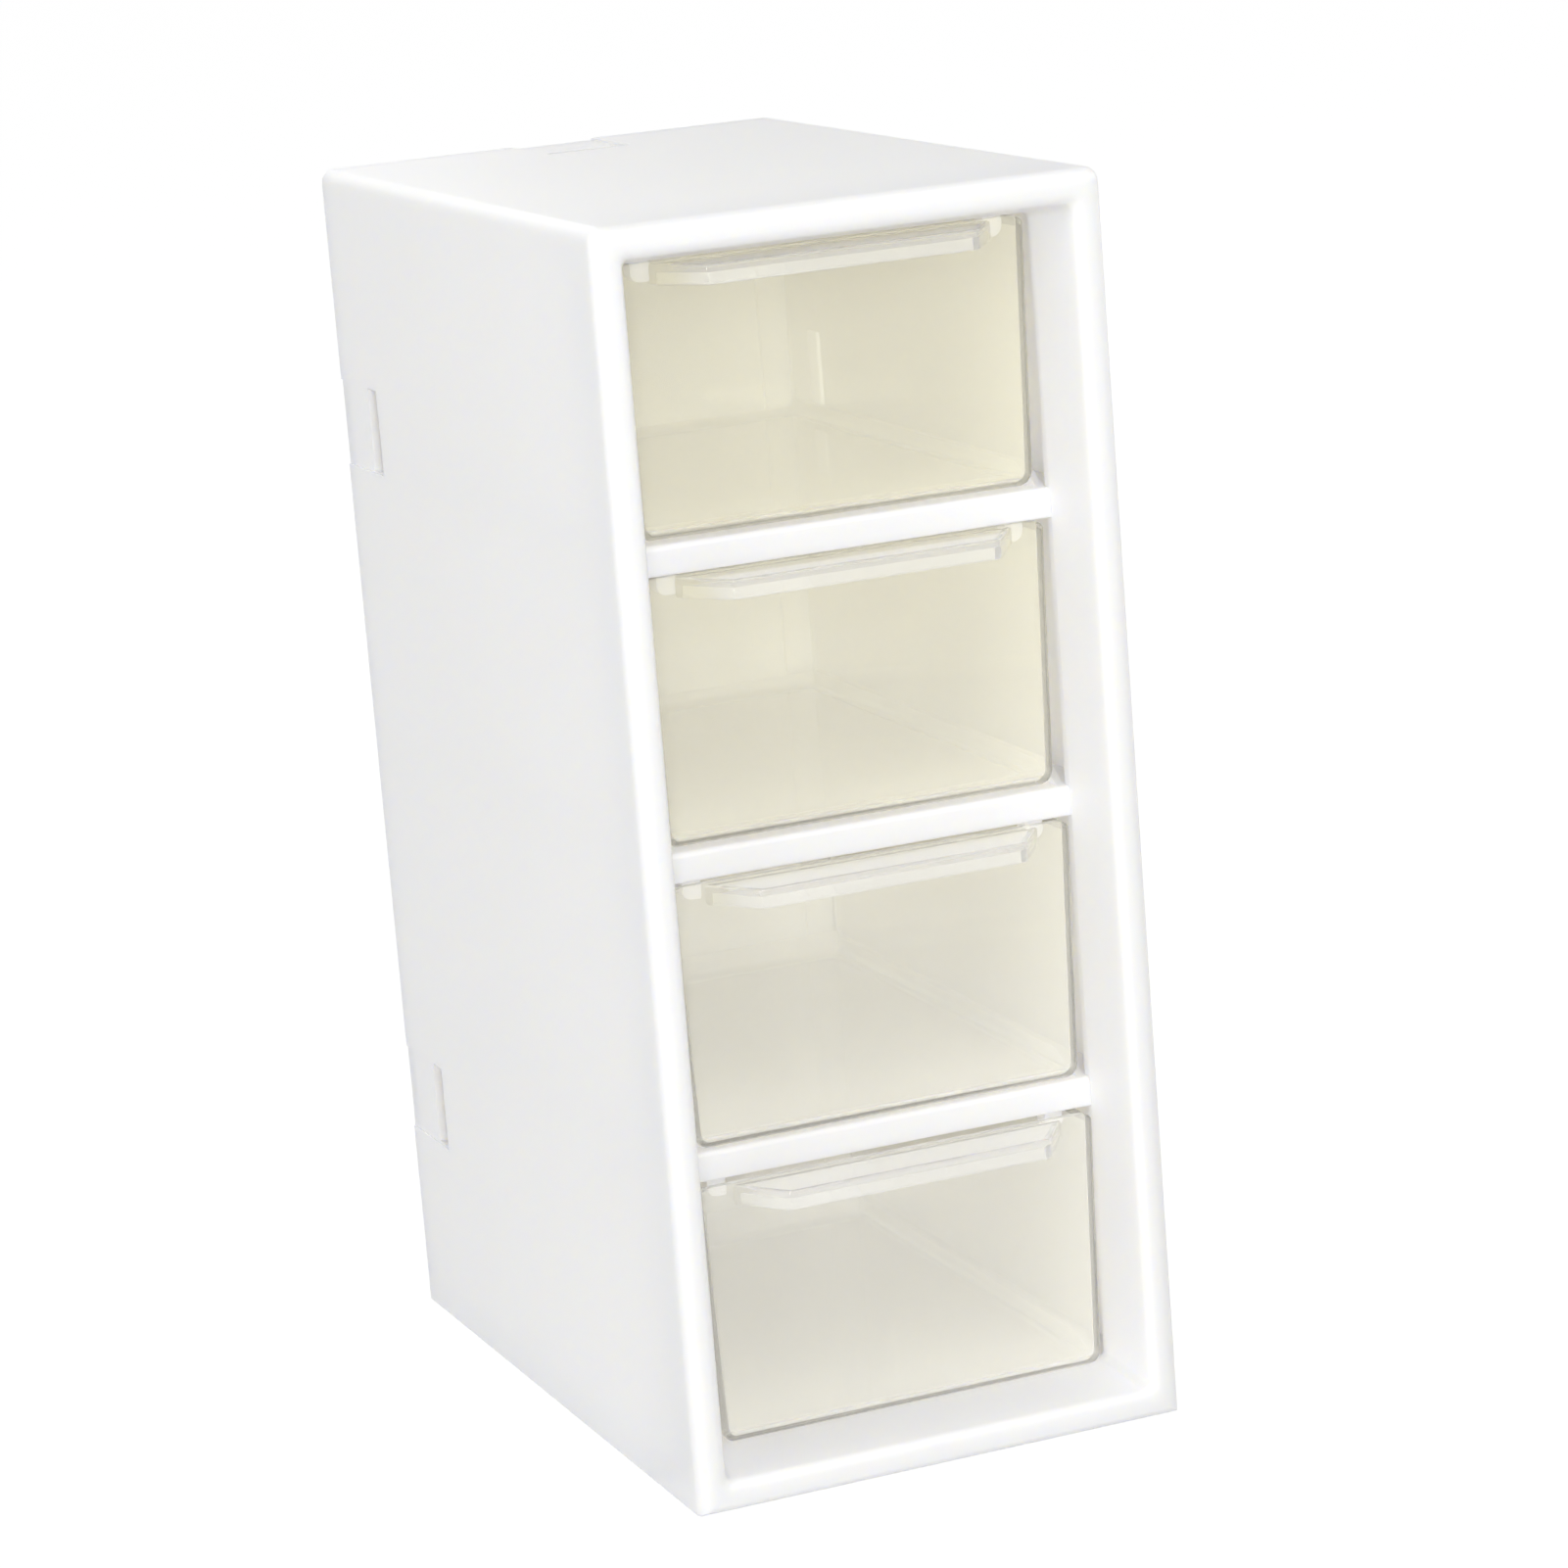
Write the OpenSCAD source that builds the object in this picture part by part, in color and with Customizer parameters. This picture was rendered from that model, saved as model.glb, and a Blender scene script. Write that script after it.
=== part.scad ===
// Desktop mini drawers: a white moulded cabinet with four clear drawers, one above another.
// The cabinet stands on its flat base and faces -Y. The origin is at the middle of the base.

/* [Cabinet] */
// Width over the side walls
cabinet_w = 91.5; // [76:0.5:140]
// Depth from the front rim to the rear edge
cabinet_d = 142; // [118:1:200]
// Height from the base to the top
cabinet_h = 220; // [180:1:300]
// Thickness of the moulded walls
wall = 2.2; // [1.8:0.1:3]
// Rounding of the front rim's outer edge
rim_round = 2.5; // [1:0.1:3.2]
// Rounding of the rim's outer edge along the base
base_round = 1.6; // [0.5:0.1:3]
// Rounding of the long top edges
top_edge_round = 2.5; // [0.6:0.1:4]
// Rounding of the long base edges
base_edge_round = 0.6; // [0.4:0.1:2]
// Rounding of the rear edge
rear_round = 0.4; // [0.2:0.1:0.8]

/* [Front frame] */
// Width of the flat rim at the sides and at the base, out to in
rim_w = 5.5; // [4.5:0.1:8]
// Width of the flat rim at the top
rim_top_w = 5.8; // [4.5:0.1:8]
// Rounding of the rim's inner edge
rim_inner_round = 1.8; // [0.6:0.1:2]
// How much the sloped faces behind the rim narrow the opening on each side
slope_w = 2; // [0.5:0.1:4]
// Depth of the sloped faces, from the rim to the shelf fronts
recess_d = 13; // [8:0.5:20]
// Length of the straight jamb behind the sloped faces
jamb_l = 2; // [1.5:0.1:5]
// Skin of the sloped frame, which is hollow from behind
frame_skin = 2; // [1.5:0.1:2.5]
// Thickness of the rim, front to back
rim_t = 3; // [2.6:0.1:5]
// Corner rounding of the opening
opening_round = 1.5; // [0.5:0.1:4]

/* [Shelves] */
// Height of a shelf's front edge
shelf_front_h = 5.2; // [4:0.1:9]
// Thickness of a shelf's front edge, front to back
shelf_front_t = 2; // [1.5:0.1:4]
// Thickness of a shelf's plate
shelf_t = 2; // [1.5:0.1:3]
// Rounding of a shelf's upper front edge
shelf_round = 1; // [0.3:0.1:1.4]
// Height of the rails that guide a drawer's lower sides
guide_h = 4; // [2:0.1:8]
// Thickness of the guide rails and of the ribs behind the stop tabs
rib_t = 1.5; // [1:0.1:2.5]
// Length of the sloped lead-in at a guide rail's front
guide_lead = 6; // [2:0.5:12]

/* [Stop tabs] */
// Distance of each tab's middle from the side of the opening
tab_inset = 6.2; // [4:0.1:12]
// Width of a tab
tab_w = 3.4; // [2:0.1:6]
// How far a tab hangs below the shelf's front edge
tab_drop = 3.8; // [2:0.1:6]
// Depth of a tab at its root, front to back
tab_l = 3.2; // [2:0.1:6]
// How far a tab's front face leans back, which lets a drawer be pushed in past it
tab_lean = 1.2; // [0:0.1:1.8]
// Rounding of a tab's outer lower corner
tab_round = 1.8; // [0.3:0.1:1.9]
// Length of the rib behind a tab, which holds down the rear of an open drawer
hold_l = 22; // [8:1:60]

/* [Back panel] */
// Thickness of the back panel
back_t = 2; // [1.5:0.1:4]
// How far the panel lies inside the rear edge
back_inset = 0.4; // [0:0.1:2]
// Width of the ledge that the panel seats on
ledge_w = 0.8; // [0.5:0.1:0.9]
// Gap round the panel's edge
panel_gap = 0.1; // [0.05:0.05:0.3]
// Distance of each stiffening rib's middle from the side of the opening
back_rib_inset = 0; // [0:0.5:20]
// How far the stiffening ribs stand in from the panel
back_rib_h = 1; // [0.5:0.1:4]

/* [Clip slots] */
// Height of the lower pair of side slots, to their middle
lower_slot_z = 43.5; // [20:0.5:80]
// Distance of the upper pair of side slots below the top, to their middle
upper_slot_drop = 47; // [20:0.5:80]
// Length of a slot
slot_l = 15.2; // [8:0.1:20]
// Width of a slot
slot_w = 6; // [2:0.1:8]
// Distance from a slot to the rear edge
slot_to_rear = 14.7; // [10:0.1:30]
// Depth of the shallow channel from a slot to the rear edge
channel_depth = 0.4; // [0.3:0.1:0.8]
// How much wider than the slot its channel is
channel_extra = 0.8; // [0:0.1:3]

/* [Drawers] */
// How far each drawer stands open, top to bottom
drawer_open = [0, 0, 2, 3.4]; // [0:0.1:12]
// Thickness of a drawer's walls
drawer_wall = 1.3; // [1:0.1:2]
// Thickness of a drawer's floor
drawer_floor = 1.4; // [1:0.1:2.5]
// Gap at each side of a drawer's rim
side_gap = 0.75; // [0.4:0.05:1.5]
// Gap over a drawer
top_gap = 0.4; // [0.3:0.05:1.5]
// Gap under a drawer, beside its guide rails and at its closed stop
running_gap = 0.3; // [0.2:0.05:0.5]
// Gap between a closed drawer and the clips in the slots
clip_gap = 0.7; // [0.4:0.1:3]
// Distance of a closed drawer's face behind the shelf fronts
face_setback = 1; // [0.3:0.1:3]
// Narrowing of a drawer per millimetre down from its rim, on each side and at the rear
draft = 0.03; // [0.01:0.005:0.05]
// Rounding of the lower edges
drawer_edge_round = 2.8; // [1.6:0.1:4]
// Rounding inside along the floor
floor_fillet = 1.5; // [0.6:0.1:3]
// Rounding of the upright edges
upright_round = 1.5; // [0.5:0.1:3]
// Rounding of the upper corners and rims, seen from the front
upper_round = 2.6; // [1.5:0.1:4]

/* [Grip] */
// Distance of the grip's ends from the drawer's sides, where it leaves the drawer's face
grip_inset = 6.5; // [6:0.5:17.5]
// How far the grip draws in at each end, from the face to its front
grip_taper = 6.5; // [3:0.5:21]
// How far the grip stands out of the drawer's face
grip_depth = 9.3; // [6:0.1:11]
// Height of the grip's front edge
grip_h = 3.6; // [3:0.1:6]
// Thickness of the grip's top plate
grip_plate_t = 1.5; // [1:0.1:2]
// Thickness of the skirt that hangs from the plate
grip_skirt_t = 1.3; // [1:0.1:2]
// Distance of the grip's top below the drawer's rim
grip_below_rim = 0.3; // [0.2:0.1:3]
// Rounding of the grip's edges
grip_round = 0.5; // [0.2:0.1:0.6]
// Rounding of the grip's corners, seen from above
grip_corner_round = 1; // [0.7:0.1:2]

/* [Hidden] */

cabinet_colour = "white";
panel_colour = "gainsboro";
drawer_colour = "lightyellow";

arc_steps = 5;       // flats in each rounded corner of an outline
edge_steps = 4;      // flats across each rounded edge
sharp = 0.3;         // rounding of corners that are all but square
embed = 0.3;         // how far one feature of a moulding reaches into another

// Compartments: the shelves share the height of the opening evenly.
drawer_count = len(drawer_open);
opening_side = rim_w + slope_w;
opening_top = rim_top_w + slope_w;
opening_w = cabinet_w - 2 * opening_side;
opening_h = cabinet_h - opening_side - opening_top;
compartment_h = (opening_h - (drawer_count - 1) * shelf_front_h) / drawer_count;
function floor_z(n) = opening_side + (drawer_count - n) * (compartment_h + shelf_front_h);
function ceiling_z(n) = floor_z(n) + compartment_h;

// Depths, measured back from the front rim.
jamb_y = recess_d + jamb_l;
face_y = recess_d + face_setback;
tab_y = face_y + drawer_wall + running_gap;
slot_y = cabinet_d - slot_to_rear - slot_w;
panel_y = cabinet_d - back_inset - back_t;
shelf_end_y = panel_y - back_rib_h - running_gap;

// Drawers fill a compartment up to the slots, where the joining clips reach in.
drawer_w = opening_w - 2 * side_gap;
drawer_h = compartment_h - running_gap - top_gap;
drawer_l = slot_y - clip_gap - face_y;
guide_x = drawer_w / 2 - draft * (drawer_h - guide_h) + running_gap;
tab_x = opening_w / 2 - tab_inset;
grip_l = drawer_w - 2 * grip_inset;
grip_front_l = grip_l - 2 * grip_taper;

// An outline whose corners are rounded by arcs. Both lists run anticlockwise from the same corner.
function unit(v) = v / norm(v);
function turn(a) = a > 180 ? a - 360 : a < -180 ? a + 360 : a;
function corner_arc(before, at, after, r, steps) =
    let (u = unit(before - at), v = unit(after - at),
         half = acos(u * v) / 2,
         centre = at + unit(u + v) * r / sin(half),
         first = at + u * r / tan(half) - centre,
         last = at + v * r / tan(half) - centre,
         a = atan2(first.y, first.x),
         sweep = turn(atan2(last.y, last.x) - a))
    [for (k = [0:steps]) centre + r * [cos(a + sweep * k / steps), sin(a + sweep * k / steps)]];
function rounded(corners, radii, steps = arc_steps) =
    let (n = len(corners))
    [for (i = [0:n - 1])
        each corner_arc(corners[(i + n - 1) % n], corners[i], corners[(i + 1) % n], radii[i], steps)];

// A closed solid through a row of rings that all have the same number of points.
// With capped = false its last ring joins its first, as round a picture frame.
module skin(rings, capped = true) {
    n = len(rings[0]);
    m = len(rings);
    joins = capped ? m - 1 : m;
    sides = [for (i = [0:joins - 1], j = [0:n - 1])
        let (k = (j + 1) % n, up = (i + 1) % m)
        [i * n + j, up * n + j, up * n + k, i * n + k]];
    caps = capped ? [[for (j = [0:n - 1]) j], [for (j = [n - 1:-1:0]) (m - 1) * n + j]] : [];
    polyhedron(points = [for (ring = rings) each ring], faces = concat(sides, caps));
}

// An outline in Y and Z, carried w along X about the middle.
module across(w) {
    rotate([90, 0, 90]) linear_extrude(height = w, center = true) children();
}

// An outline in X and Z, carried from y0 back to y1.
module backward(y0, y1) {
    translate([0, y1, 0]) rotate([90, 0, 0]) linear_extrude(height = y1 - y0) children();
}

// Both sides of the middle plane.
module both_sides() {
    children();
    mirror([1, 0, 0]) children();
}

// Depths are drawn from the front rim and then centred on the origin.
module from_rim() {
    translate([0, -cabinet_d / 2, 0]) children();
}

// A rounded rectangle across the cabinet at depth y. inset holds its distances inside the outer
// size at the sides, the base and the top, and radii its lower and upper corner rounding.
function cabinet_ring(y, inset, radii) =
    let (x = cabinet_w / 2 - inset[0], low = inset[1], high = cabinet_h - inset[2])
    [for (p = rounded([[-x, low], [x, low], [x, high], [-x, high]],
                      [radii[0], radii[0], radii[1], radii[1]])) [p.x, y, p.y]];

rim = [rim_w, rim_w, rim_top_w];
opening = [opening_side, opening_side, opening_top];
outer_radii = [base_edge_round, top_edge_round];
opening_radii = [opening_round, opening_round];
sharp_radii = [sharp, sharp];

function even(v) = [v, v, v];
function shrunk(radii, by) = [for (r = radii) max(r - by, sharp)];
// Distance in from the side at depth y on the sloped faces.
function slope_inset(y) = rim + even(slope_w) * (y - rim_inner_round) / (recess_d - rim_inner_round);

// The shell, as rings from the rear edge over the outside, round the rim, in along the sloped
// faces, back into the hollow behind them, and along the inner walls to the panel's ledge.
module shell() {
    rear = [
        cabinet_ring(cabinet_d, even(rear_round), shrunk(outer_radii, rear_round)),
        cabinet_ring(cabinet_d - rear_round, even(0), outer_radii)];
    rim_outer = [for (k = [0:edge_steps])
        let (a = 90 * k / edge_steps, in = rim_round * (1 - cos(a)))
        cabinet_ring(rim_round * (1 - sin(a)),
                     [in, base_round * (1 - cos(a)), in], shrunk(outer_radii, in))];
    rim_inner = [for (k = [0:edge_steps])
        let (a = 90 * k / edge_steps)
        cabinet_ring(rim_inner_round * (1 - cos(a)),
                     rim - even(rim_inner_round * (1 - sin(a))), opening_radii)];
    frame = [
        cabinet_ring(recess_d, opening, opening_radii),
        cabinet_ring(jamb_y, opening, opening_radii),
        cabinet_ring(jamb_y, opening - even(frame_skin), opening_radii),
        cabinet_ring(rim_t, slope_inset(rim_t) - even(frame_skin), opening_radii),
        cabinet_ring(rim_t, even(wall), sharp_radii)];
    inside = [
        cabinet_ring(panel_y, even(wall), sharp_radii),
        cabinet_ring(panel_y, even(wall - ledge_w), sharp_radii),
        cabinet_ring(cabinet_d, even(wall - ledge_w), sharp_radii)];
    skin(concat(rear, rim_outer, rim_inner, frame, inside), capped = false);
}

// The plate that carries drawer n, with its turned-down front edge where another drawer is below,
// and a web on each side that carries the plate on through the hollow frame.
module shelf(n) {
    z = floor_z(n);
    low = n < drawer_count ? ceiling_z(n + 1) : z - shelf_t - embed;
    back = recess_d + shelf_front_t;
    side = cabinet_w / 2 - wall + embed;
    web_back = max(back, jamb_y) + embed;
    across(2 * side)
        polygon([[back, z - shelf_t], [shelf_end_y, z - shelf_t], [shelf_end_y, z], [back, z]]);
    across(opening_w + 2 * embed)
        polygon(rounded([[recess_d, low], [back, low], [back, z - shelf_t], [back + embed, z - shelf_t],
                         [back + embed, z], [recess_d, z]],
                        [sharp, sharp, sharp / 4, sharp / 4, sharp / 4, shelf_round]));
    both_sides() translate([0, 0, z - shelf_t]) linear_extrude(height = shelf_t)
        polygon([[side, rim_t - embed], [side, web_back], [opening_w / 2 + frame_skin - embed, web_back],
                 [cabinet_w / 2 - slope_inset(rim_t).x + frame_skin - embed, rim_t - embed]]);
}

// A rail that stands on the shelf beside the drawer's lower edge, with a sloped lead-in.
module guide_rail(n) {
    z = floor_z(n);
    translate([guide_x + rib_t / 2, 0, 0]) across(rib_t)
        polygon([[jamb_y - embed, z - embed], [slot_y - clip_gap, z - embed],
                 [slot_y - clip_gap, z + guide_h], [jamb_y + guide_lead, z + guide_h], [jamb_y - embed, z]]);
}

// A rib under the shelf or the top that keeps an open drawer from tipping, with the stop tab
// at its front. The tab's front face stops a closing drawer and its rear face an opening one.
module stop_rib(n) {
    z = ceiling_z(n);
    top = n > 1 ? floor_z(n - 1) - shelf_t : cabinet_h - wall;
    half = tab_w / 2;
    rear = tab_y + tab_l + hold_l;
    translate([tab_x, 0, 0]) {
        across(rib_t)
            polygon([[jamb_y - embed, z], [rear, z], [rear + top - z, top], [rear + top - z, top + embed],
                     [jamb_y - embed, top + embed]]);
        intersection() {
            backward(tab_y, tab_y + tab_l)
                polygon(rounded([[-half, z - tab_drop], [half, z - tab_drop],
                                 [half, top + embed], [-half, top + embed]],
                                [sharp, tab_round, sharp / 4, sharp / 4]));
            across(2 * tab_w)
                polygon([[tab_y + tab_lean, z - 2 * tab_drop], [tab_y + 2 * tab_l, z - 2 * tab_drop],
                         [tab_y + 2 * tab_l, top + 2 * embed], [tab_y - embed, top + 2 * embed],
                         [tab_y, z]]);
        }
    }
}

// A slot through the wall for a joining clip, and the shallow channel that lets the clip lie
// flush on its way to the rear edge. It is drawn on a wall whose outer face is at z = 0.
module clip_slot() {
    translate([-slot_l / 2, slot_y, -2 * wall]) cube([slot_l, slot_w, 3 * wall]);
    translate([-(slot_l + channel_extra) / 2, slot_y, -channel_depth])
        cube([slot_l + channel_extra, cabinet_d, wall]);
}

module clip_slots() {
    both_sides() for (z = [lower_slot_z, cabinet_h - upper_slot_drop])
        translate([cabinet_w / 2, 0, z]) rotate([0, 90, 0]) clip_slot();
    translate([0, 0, cabinet_h]) clip_slot();
    mirror([0, 0, 1]) clip_slot();
}

module cabinet() {
    color(cabinet_colour) from_rim() difference() {
        union() {
            shell();
            for (n = [1:drawer_count]) {
                shelf(n);
                both_sides() {
                    guide_rail(n);
                    stop_rib(n);
                }
            }
        }
        clip_slots();
    }
}

// The separate back: a plate that seats on the shell's ledge, with two upright stiffening ribs.
module back_panel() {
    edge = even(wall - ledge_w + panel_gap);
    rib_x = opening_w / 2 - back_rib_inset;
    color(panel_colour) from_rim() {
        skin([cabinet_ring(panel_y + back_t, edge, sharp_radii), cabinet_ring(panel_y, edge, sharp_radii)]);
        both_sides() translate([rib_x, 0, 0]) across(rib_t)
            polygon([[panel_y - back_rib_h, 2 * wall], [panel_y + embed, 2 * wall],
                     [panel_y + embed, cabinet_h - 2 * wall], [panel_y - back_rib_h, cabinet_h - 2 * wall]]);
    }
}

// A drawer's outline at height z, inset from its outer face. Its face is at y = 0.
function drawer_ring(z, inset) =
    let (narrow = draft * (drawer_h - z),
         x = drawer_w / 2 - narrow - inset,
         front = inset,
         rear = drawer_l - narrow - inset,
         r = max(upright_round - inset, sharp))
    [for (p = rounded([[-x, front], [x, front], [x, rear], [-x, rear]], [r, r, r, r])) [p.x, p.y, z]];

// The tub, as rings from under its floor up the outside and down the inside to the floor again.
// It is drawn taller than the drawer, and tub_outline cuts it to its rim.
module tub() {
    top = drawer_h + 1;
    outside = [for (k = [0:edge_steps])
        let (a = 90 * k / edge_steps)
        drawer_ring(drawer_edge_round * (1 - cos(a)), drawer_edge_round * (1 - sin(a)))];
    rim_rings = [drawer_ring(top, 0), drawer_ring(top, drawer_wall)];
    inside = [for (k = [edge_steps:-1:0])
        let (a = 90 * k / edge_steps)
        drawer_ring(drawer_floor + floor_fillet * (1 - cos(a)), drawer_wall + floor_fillet * (1 - sin(a)))];
    skin(concat(outside, rim_rings, inside));
}

// The drawer seen from the front, with its rounded upper corners, carried along its length.
module tub_outline() {
    x = drawer_w / 2;
    backward(-1, drawer_l + 1)
        polygon(rounded([[-x, -1], [x, -1], [x, drawer_h], [-x, drawer_h]],
                        [sharp, sharp, upper_round, upper_round]));
}

// The grip's outline from above, inset at its front and its slanted ends. back is how far its
// rear edge reaches into the drawer's front wall.
function grip_ring(z, inset, back) =
    let (run = (grip_l - grip_front_l) / 2,
         slant = norm([run, grip_depth]),
         front = grip_depth - inset,
         side = grip_l / 2 - inset * slant / grip_depth,
         lean = run / grip_depth,
         x_front = side - lean * front,
         x_back = side + lean * back,
         r = max(grip_corner_round - inset, sharp))
    [for (p = rounded([[-x_front, -front], [x_front, -front], [x_back, back], [-x_back, back]],
                      [r, r, sharp / 2, sharp / 2])) [p.x, p.y, z]];

// The grip: a plate whose edge turns down into a skirt, open underneath for the fingertips.
module grip() {
    top = drawer_h - grip_below_rim;
    low = top - grip_h;
    r = grip_round;
    back = drawer_wall - embed;
    hollow_back = back - embed;
    hollow = [
        grip_ring(top - grip_plate_t, grip_skirt_t, hollow_back),
        grip_ring(low + r, grip_skirt_t, hollow_back)];
    lip = [for (k = [0:edge_steps])
        let (a = 180 * k / edge_steps, half = grip_skirt_t / 2)
        grip_ring(low + r * (1 - sin(a)), half + half * cos(a),
                  hollow_back + (back - hollow_back) * k / edge_steps)];
    crest = [for (k = [0:edge_steps])
        let (a = 90 * k / edge_steps)
        grip_ring(top - r * (1 - sin(a)), r * (1 - cos(a)), back)];
    skin(concat(hollow, [for (k = [1:len(lip) - 1]) lip[k]], crest));
}

// Drawer n, standing as far open as drawer_open says. n counts from the top.
module drawer(n) {
    color(drawer_colour, 0.4) from_rim()
        translate([0, face_y - drawer_open[n - 1], floor_z(n) + running_gap]) {
            intersection() {
                tub();
                tub_outline();
            }
            grip();
        }
}

module drawer_1() { drawer(1); }
module drawer_2() { drawer(2); }
module drawer_3() { drawer(3); }
module drawer_4() { drawer(4); }

cabinet();
back_panel();
drawer_1();
drawer_2();
drawer_3();
drawer_4();
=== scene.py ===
import math

import bpy
import numpy as np
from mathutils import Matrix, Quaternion, Vector


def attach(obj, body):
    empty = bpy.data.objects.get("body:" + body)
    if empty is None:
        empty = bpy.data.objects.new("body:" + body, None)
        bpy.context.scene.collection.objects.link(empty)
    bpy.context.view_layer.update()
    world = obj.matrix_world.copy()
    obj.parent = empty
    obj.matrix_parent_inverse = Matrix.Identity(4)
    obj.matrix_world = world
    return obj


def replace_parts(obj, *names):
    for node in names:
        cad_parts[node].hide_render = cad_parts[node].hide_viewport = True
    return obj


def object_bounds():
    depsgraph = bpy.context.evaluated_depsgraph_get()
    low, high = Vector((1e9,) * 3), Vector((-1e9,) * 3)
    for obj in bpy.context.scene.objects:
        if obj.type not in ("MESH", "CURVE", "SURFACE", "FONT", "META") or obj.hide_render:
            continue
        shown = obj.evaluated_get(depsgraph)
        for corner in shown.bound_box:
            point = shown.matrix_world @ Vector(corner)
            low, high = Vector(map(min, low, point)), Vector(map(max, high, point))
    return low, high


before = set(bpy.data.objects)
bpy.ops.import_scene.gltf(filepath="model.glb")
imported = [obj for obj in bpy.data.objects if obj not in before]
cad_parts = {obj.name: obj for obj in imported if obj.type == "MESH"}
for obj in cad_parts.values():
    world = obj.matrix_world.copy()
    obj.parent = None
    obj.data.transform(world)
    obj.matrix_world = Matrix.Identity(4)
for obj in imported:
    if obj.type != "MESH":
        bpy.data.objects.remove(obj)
cad_low, cad_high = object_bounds()

# ---------------------------------------------------------------------------------------------
# The cabinet: one white moulding with a hollow sloped front frame, three shelves and slots for
# joining clips. It is injection moulded in polystyrene, with a fine even grain and the shallow
# waves in which such thin walls set.


class Wire:
    """A shader socket. Maths on it adds Math nodes, and node() adds any other kind of node."""

    def __init__(self, tree, socket=None):
        self.tree, self.socket = tree, socket

    def node(self, kind, settings=None, sockets=None, out=0):
        """A node of this kind with its settings, then its sockets' values or wires. Gives output out."""
        made = self.tree.nodes.new("ShaderNode" + kind)
        for name, value in (settings or {}).items():
            setattr(made, name, value)
        for name, value in (sockets or {}).items():
            if isinstance(value, Wire):
                self.tree.links.new(value.socket, made.inputs[name])
            else:
                made.inputs[name].default_value = value
        return Wire(self.tree, made.outputs[out] if made.outputs else None)

    def maths(self, operation, *values):
        return self.node("Math", {"operation": operation}, dict(enumerate(values)))

    def __add__(self, other):
        return self.maths("ADD", self, other)

    def __sub__(self, other):
        return self.maths("SUBTRACT", self, other)

    def __rsub__(self, other):
        return self.maths("SUBTRACT", other, self)

    def __mul__(self, other):
        return self.maths("MULTIPLY", self, other)

    __radd__, __rmul__ = __add__, __mul__

    def clamped(self):
        """The same value, held between 0 and 1."""
        return self.maths("MINIMUM", self.maths("MAXIMUM", self, 0.0), 1.0)

    def ramp(self, start, length):
        """0 up to the start, 1 from start + length on, and straight in between."""
        return ((self - start) * (1 / length)).clamped()

    def place(self, axis):
        """Where a point of the surface lies along X, Y or Z, in metres."""
        point = self.node("TexCoord", out="Object")
        return self.node("SeparateXYZ", {}, {"Vector": point}, out=axis)

    def noise(self, size, detail, seed=0.0):
        """Noise from 0 to 1 with features of this size in metres."""
        point = self.node("TexCoord", out="Object")
        return self.node("TexNoise", {"noise_dimensions": "4D"},
                         {"Vector": point, "W": seed, "Scale": 1 / size, "Detail": detail})

    def mix(self, share, first, second):
        """A colour between two colours, which are the sockets 6 and 7 of a Mix node."""
        return self.node("Mix", {"data_type": "RGBA"}, {0: share, 6: first, 7: second}, out=2)

    def bump(self, height, depth, then=None):
        """A normal from heights between 0 and 1 that stand for this depth in metres, on top of
        the bumps that then gives."""
        sockets = {"Height": height, "Distance": depth, "Strength": 1.0}
        if then is not None:
            sockets["Normal"] = then
        return self.node("Bump", {}, sockets)


def material(name):
    """A new material and the wire that its nodes hang on."""
    made = bpy.data.materials.new(name)
    made.use_nodes = True
    made.node_tree.nodes.clear()
    return made, Wire(made.node_tree)


def surface(wire, shader):
    """Ends a material with this shader."""
    wire.node("OutputMaterial", {}, {"Surface": shader})


def merged(node, piece, finish, body):
    """A copy of a CAD node that stands for it. Corners that agree to a tenth of a micrometre are
    joined, and faces that meet at less than a moulding's softest edge are shaded as one."""
    steps_in_a_metre = 1e7
    softest_edge = math.radians(35)
    pull_of_large_faces = 80
    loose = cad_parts[node].data
    corners = np.empty(len(loose.vertices) * 3)
    loose.vertices.foreach_get("co", corners)
    corners = corners.reshape(-1, 3)
    triangles = np.empty(len(loose.loops), int)
    loose.loops.foreach_get("vertex_index", triangles)
    steps = np.round(corners * steps_in_a_metre).astype(int)
    _, first, which = np.unique(steps, axis=0, return_index=True, return_inverse=True)
    faces = which.ravel()[triangles].reshape(-1, 3)
    mesh = bpy.data.meshes.new(piece)
    mesh.from_pydata(corners[first].tolist(), [], faces.tolist())
    mesh.validate()
    mesh.polygons.foreach_set("use_smooth", np.ones(len(mesh.polygons), bool))
    mesh.set_sharp_from_angle(angle=softest_edge)
    mesh.materials.append(finish)
    made = bpy.data.objects.new(piece, mesh)
    bpy.context.scene.collection.objects.link(made)
    flats = made.modifiers.new("flats", "WEIGHTED_NORMAL")
    flats.keep_sharp = True
    flats.weight = pull_of_large_faces
    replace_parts(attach(made, body), node)


grain_size, grain_detail, grain_depth = 0.0004, 3.0, 0.000004
wave_size, wave_depth = 0.03, 0.00004
handled_size = 0.012
cool_white, handled_white = (0.965, 0.965, 0.985, 1), (0.975, 0.975, 0.995, 1)
polystyrene_ior = 1.5
light_spread = (1.0, 0.93, 0.72)
light_reach = 0.0025

white_plastic, wire = material("white_plastic")
grain = wire.noise(grain_size, grain_detail)
waves = wire.noise(wave_size, 1.0, seed=2.0)
handled = wire.noise(handled_size, 3.0, seed=5.0)
surface(wire, wire.node("BsdfPrincipled", {}, {
    "Base Color": wire.mix(handled, cool_white, handled_white),
    "Roughness": 0.36 + 0.1 * handled,
    "IOR": polystyrene_ior,
    "Subsurface Weight": 1.0,
    "Subsurface Radius": light_spread,
    "Subsurface Scale": light_reach,
    "Normal": wire.bump(grain, grain_depth, wire.bump(waves, wave_depth)),
}))
merged("cabinet", "cabinet_moulding", white_plastic, "cabinet")

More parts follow.
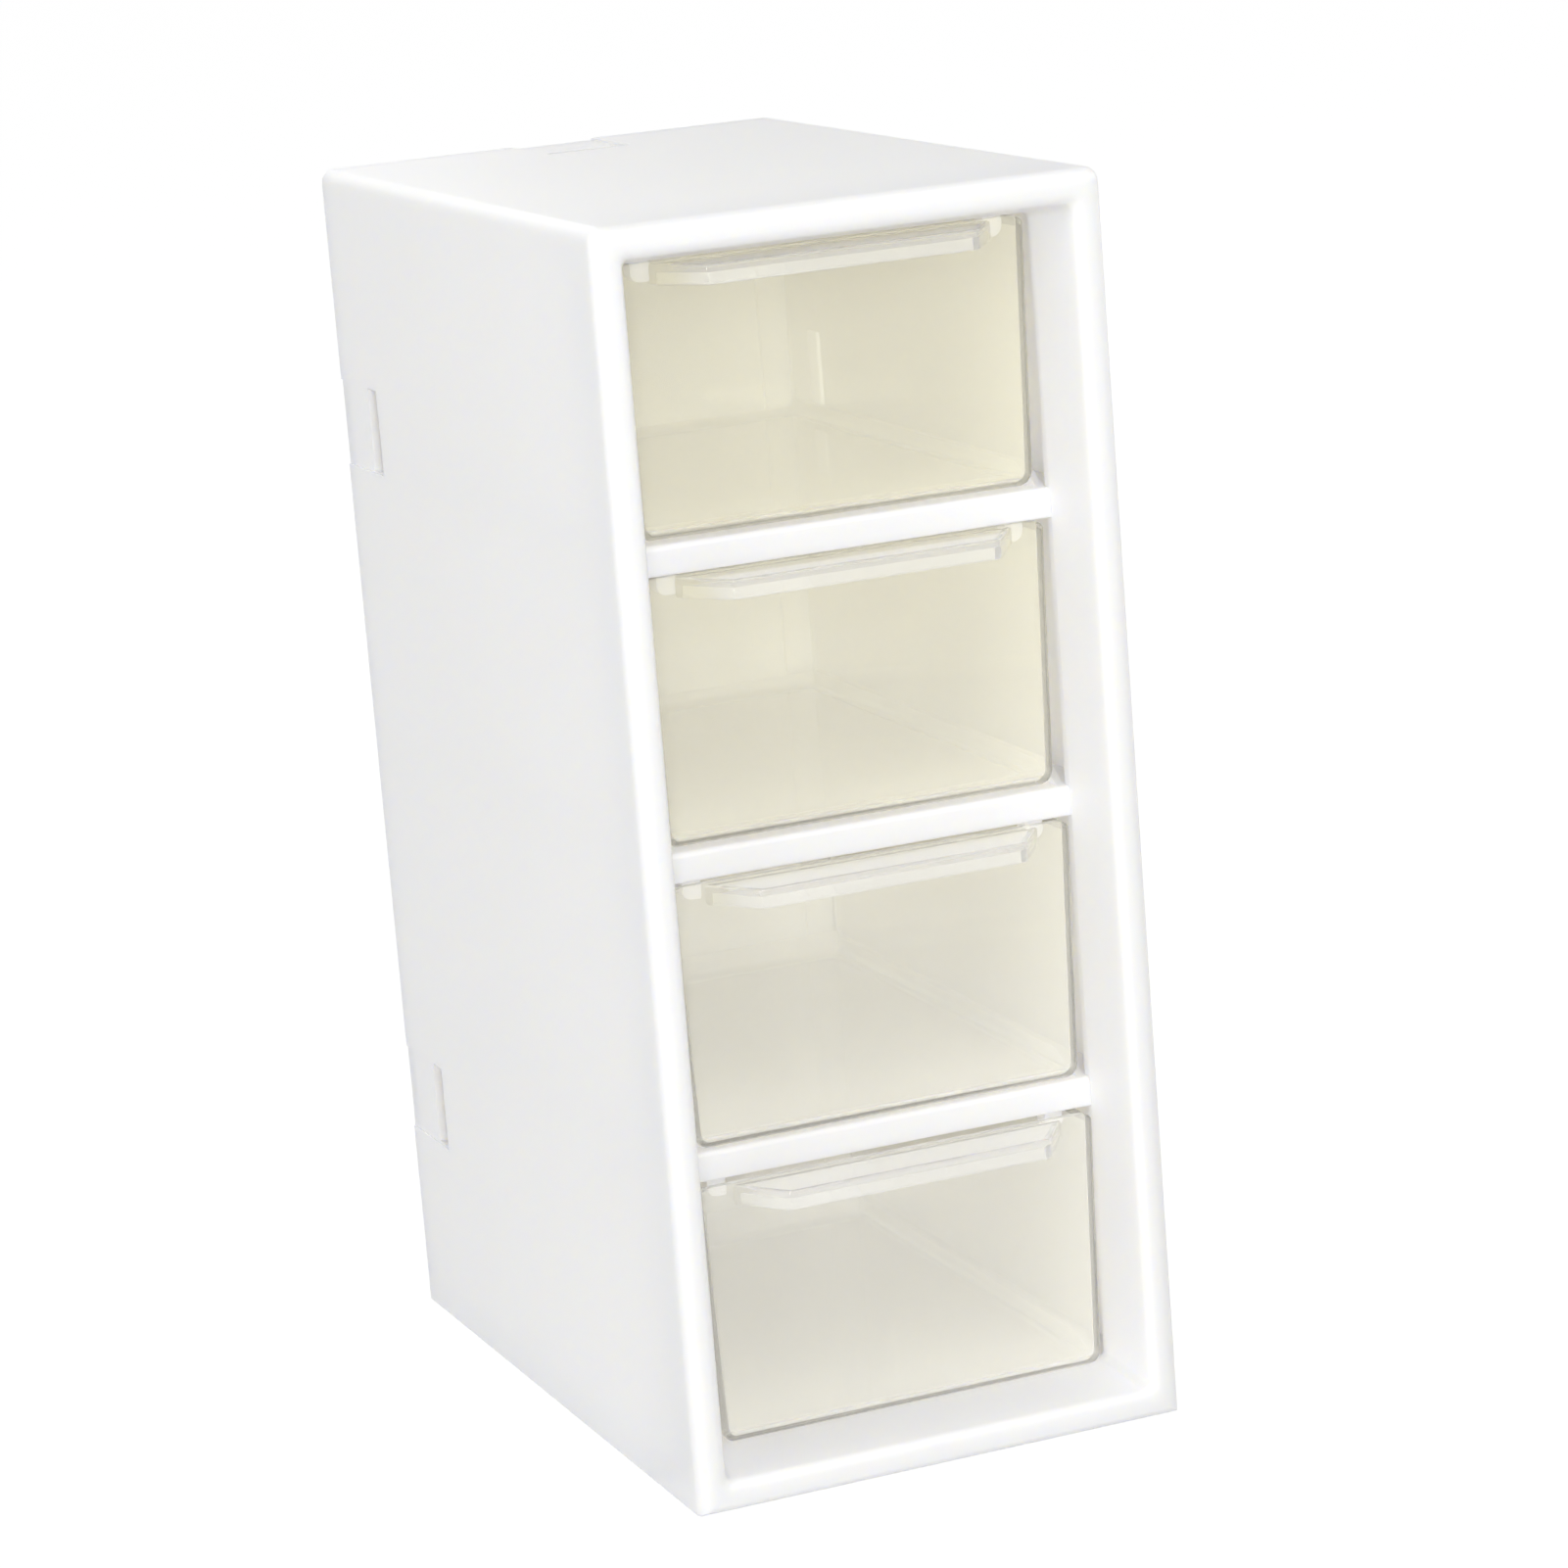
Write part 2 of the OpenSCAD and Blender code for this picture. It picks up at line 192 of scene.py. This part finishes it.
# ---------------------------------------------------------------------------------------------
# The back panel: a separate flat moulding with two upright ribs, bonded on the ledge round the
# cabinet's rear edge. It is the same plastic as the cabinet, in a warmer white that lets light
# spread further.

patch_size = 0.02
warm_white, patchy_white = (0.975, 0.97, 0.955, 1), (0.985, 0.98, 0.965, 1)
panel_light_reach = 0.006

panel_plastic, wire = material("panel_plastic")
grain = wire.noise(grain_size, grain_detail)
patches = wire.noise(patch_size, 2.0, seed=3.0)
surface(wire, wire.node("BsdfPrincipled", {}, {
    "Base Color": wire.mix(patches, warm_white, patchy_white),
    "Roughness": 0.42 + 0.08 * patches,
    "IOR": polystyrene_ior,
    "Subsurface Weight": 1.0,
    "Subsurface Radius": light_spread,
    "Subsurface Scale": panel_light_reach,
    "Normal": wire.bump(grain, grain_depth),
}))
merged("back_panel", "back_panel_moulding", panel_plastic, "cabinet")

# ---------------------------------------------------------------------------------------------
# The drawers: four equal tubs with a grip along the upper edge of the face, each moulded in one
# piece of polished polystyrene, clear with a slight milkiness and a warm cast. Painted light:
# the cast is painted stronger higher up, though the drawers are equal, and the grip is painted a
# clearer white for the light it catches.

flow_size, flow_depth = 0.009, 0.000004
scuff_size = 0.004
warm_from, warm_over = 0.06, 0.1
grip_root, root_depth = cad_low[1] + 0.007, 0.004
# Painted light: the grip's whiter colour, for the light it catches.
grip_painted_white = (0.99, 0.99, 0.98, 1)
# Painted light: the tub's colour low down, and the warmer one painted on the upper drawers.
pale_tub, warm_tub = (0.99, 0.985, 0.94, 1), (0.99, 0.975, 0.87, 1)
light_let_through = (1.0, 0.995, 0.978, 1)

clear_plastic, wire = material("clear_plastic")
flow = wire.noise(flow_size, 2.0, seed=4.0)
scuffs = wire.noise(scuff_size, 4.0, seed=7.0)
# Painted light: a warmer cast painted on the upper drawers, which are the same as the lower ones.
painted_warmth = wire.place("Z").ramp(warm_from, warm_over)
# Painted light: the grip is painted a clearer white than the tub, for the light it catches.
behind_grip = wire.place("Y").ramp(grip_root, root_depth)
clear = wire.node("BsdfPrincipled", {}, {
    "Base Color": wire.mix(behind_grip, grip_painted_white, wire.mix(painted_warmth, pale_tub, warm_tub)),
    "Roughness": 0.015 + 0.03 * scuffs,
    "IOR": 1.45,
    "Transmission Weight": 0.78,
    "Normal": wire.bump(flow, flow_depth),
})
# Light that is on its way to a lamp, or comes off a matt surface, goes straight through a wall.
lamp_light = wire.node("LightPath", out="Is Shadow Ray")
soft_light = wire.node("LightPath", out="Is Diffuse Ray")
straight_through = (lamp_light + soft_light).clamped()
passing = wire.node("BsdfTransparent", {}, {"Color": light_let_through})
surface(wire, wire.node("MixShader", {}, {0: straight_through, 1: clear, 2: passing}))
for n in range(1, 5):
    merged(f"drawer_{n}", f"drawer_{n}_tub", clear_plastic, f"drawer_{n}")

# ---------------------------------------------------------------------------------------------
# The floor and the light: a wide white sheet under an even white sky, with broad soft lamps at
# the left, the rear, the right and above the front, and a smaller one behind the camera, which
# reaches into the drawers.


def looked_at(wire):
    """1 where the camera sees something, straight, in gloss or through clear plastic, and else 0."""
    straight = wire.node("LightPath", out="Is Camera Ray")
    in_gloss = wire.node("LightPath", out="Is Glossy Ray")
    through = wire.node("LightPath", out="Is Transmission Ray")
    return (straight + in_gloss + through).clamped()


def soft_lamp(name, place, width, watts):
    """A square lamp that faces a point just below the middle of the object."""
    light = bpy.data.lights.new(name, "AREA")
    light.size, light.energy = width, watts
    lamp = bpy.data.objects.new(name, light)
    lamp.location = place
    lamp.rotation_euler = (lit_point - Vector(place)).to_track_quat("-Z", "Y").to_euler()
    bpy.context.scene.collection.objects.link(lamp)


floor_half = 6.0
paper_grey = (0.75, 0.75, 0.75, 1)
paper_glow, glow_share = 1.13, 0.85
white = (1, 1, 1, 1)
sky_strength, backdrop_strength = 0.32, 1.0
lit_point = Vector((0, 0, 0.1))

paper, wire = material("paper")
matt = wire.node("BsdfDiffuse", {}, {"Color": paper_grey})
glow = wire.node("Emission", {}, {"Color": white, "Strength": paper_glow})
surface(wire, wire.node("MixShader", {}, {0: glow_share * looked_at(wire), 1: matt, 2: glow}))

mesh = bpy.data.meshes.new("floor")
corners = [(-floor_half, -floor_half, 0), (floor_half, -floor_half, 0),
           (floor_half, floor_half, 0), (-floor_half, floor_half, 0)]
mesh.from_pydata(corners, [], [(0, 1, 2, 3)])
mesh.materials.append(paper)
floor = bpy.data.objects.new("floor", mesh)
bpy.context.scene.collection.objects.link(floor)

world = bpy.data.worlds.new("studio")
bpy.context.scene.world = world
world.use_nodes = True
world.node_tree.nodes.clear()
wire = Wire(world.node_tree)
sky = wire.node("Background", {}, {"Color": white, "Strength": sky_strength})
backdrop = wire.node("Background", {}, {"Color": white, "Strength": backdrop_strength})
both = wire.node("MixShader", {}, {0: looked_at(wire), 1: sky, 2: backdrop})
wire.node("OutputWorld", {}, {"Surface": both})

soft_lamp("side_lamp", (-1.5, -0.5, 0.5), width=1.0, watts=8.8)
soft_lamp("front_lamp", (-0.545, -1.4, 0.36), width=0.4, watts=6.1)
soft_lamp("rear_lamp", (0.0, 1.4, 0.85), width=1.0, watts=3.5)
soft_lamp("right_lamp", (1.5, 0.0, 0.4), width=1.0, watts=5.0)
soft_lamp("top_lamp", (0.05, -0.9, 1.3), width=1.0, watts=8.3)

# ---------------------------------------------------------------------------------------------
# The camera: a long lens at the left of the front, a little above the top, and slightly tilted.
# Light passes many clear walls before it is back from the inside of a drawer, so it may bounce
# and pass more often than by default.

eye = Vector((-0.33128, -0.85206, 0.31462))
aim = Vector((0.00832, 0.0, 0.10718))
tilt = math.radians(-4.595)
focal_length, sensor_width = 119.09, 36.0

lens = bpy.data.cameras.new("camera")
lens.lens, lens.sensor_width = focal_length, sensor_width
camera = bpy.data.objects.new("camera", lens)
camera.location = eye
camera.rotation_mode = "QUATERNION"
level = (aim - eye).to_track_quat("-Z", "Y")
camera.rotation_quaternion = level @ Quaternion((0, 0, 1), tilt)
bpy.context.scene.collection.objects.link(camera)
bpy.context.scene.camera = camera
bpy.context.scene.view_settings.view_transform = "Standard"
bpy.context.scene.cycles.diffuse_bounces = 12
bpy.context.scene.cycles.max_bounces = 24
bpy.context.scene.cycles.transmission_bounces = 24
bpy.context.scene.cycles.transparent_max_bounces = 64
